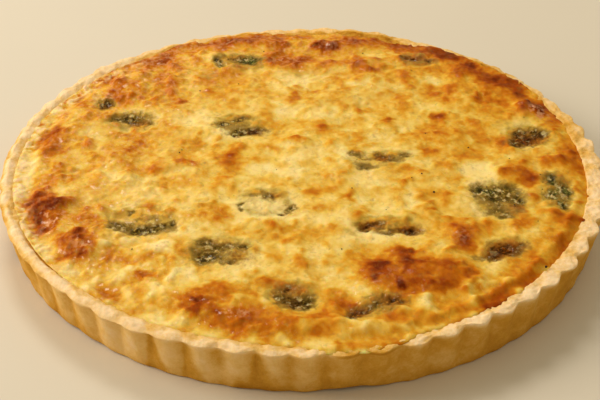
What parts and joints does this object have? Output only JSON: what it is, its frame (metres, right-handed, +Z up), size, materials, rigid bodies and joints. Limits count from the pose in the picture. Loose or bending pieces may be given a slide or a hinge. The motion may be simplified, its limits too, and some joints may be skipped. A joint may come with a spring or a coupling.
{
  "type": "spinach pie",
  "caption": "Whole round open pie: a fluted shortcrust pastry case filled level with baked egg-and-cheese custard, with dark clumps of spinach showing in its browned top.",
  "frame": {"origin": "centre of the underside, on the surface that the pie stands on", "axes": "+Z up along the axis of the round case; -Y is the side nearest the viewer in the picture, +X its right"},
  "size_m": [0.25, 0.2498, 0.0233],
  "materials": {
    "pastry": null,
    "custard": "baked egg custard and melted cheese, satin, pale yellow mottled orange and brown",
    "spinach": "cooked chopped spinach, dark green to black, slightly moist"
  },
  "bodies": {
    "root": {"crust": "pastry", "filling": "custard", "spinach_01": "spinach", "spinach_02": "spinach", "spinach_03": "spinach", "spinach_04": "spinach", "spinach_05": "spinach", "spinach_06": "spinach", "spinach_07": "spinach", "spinach_08": "spinach", "spinach_09": "spinach", "spinach_10": "spinach", "spinach_11": "spinach", "spinach_12": "spinach", "spinach_13": "spinach", "spinach_14": "spinach", "spinach_15": "spinach", "spinach_16": "spinach"}
  },
  "joints": []
}
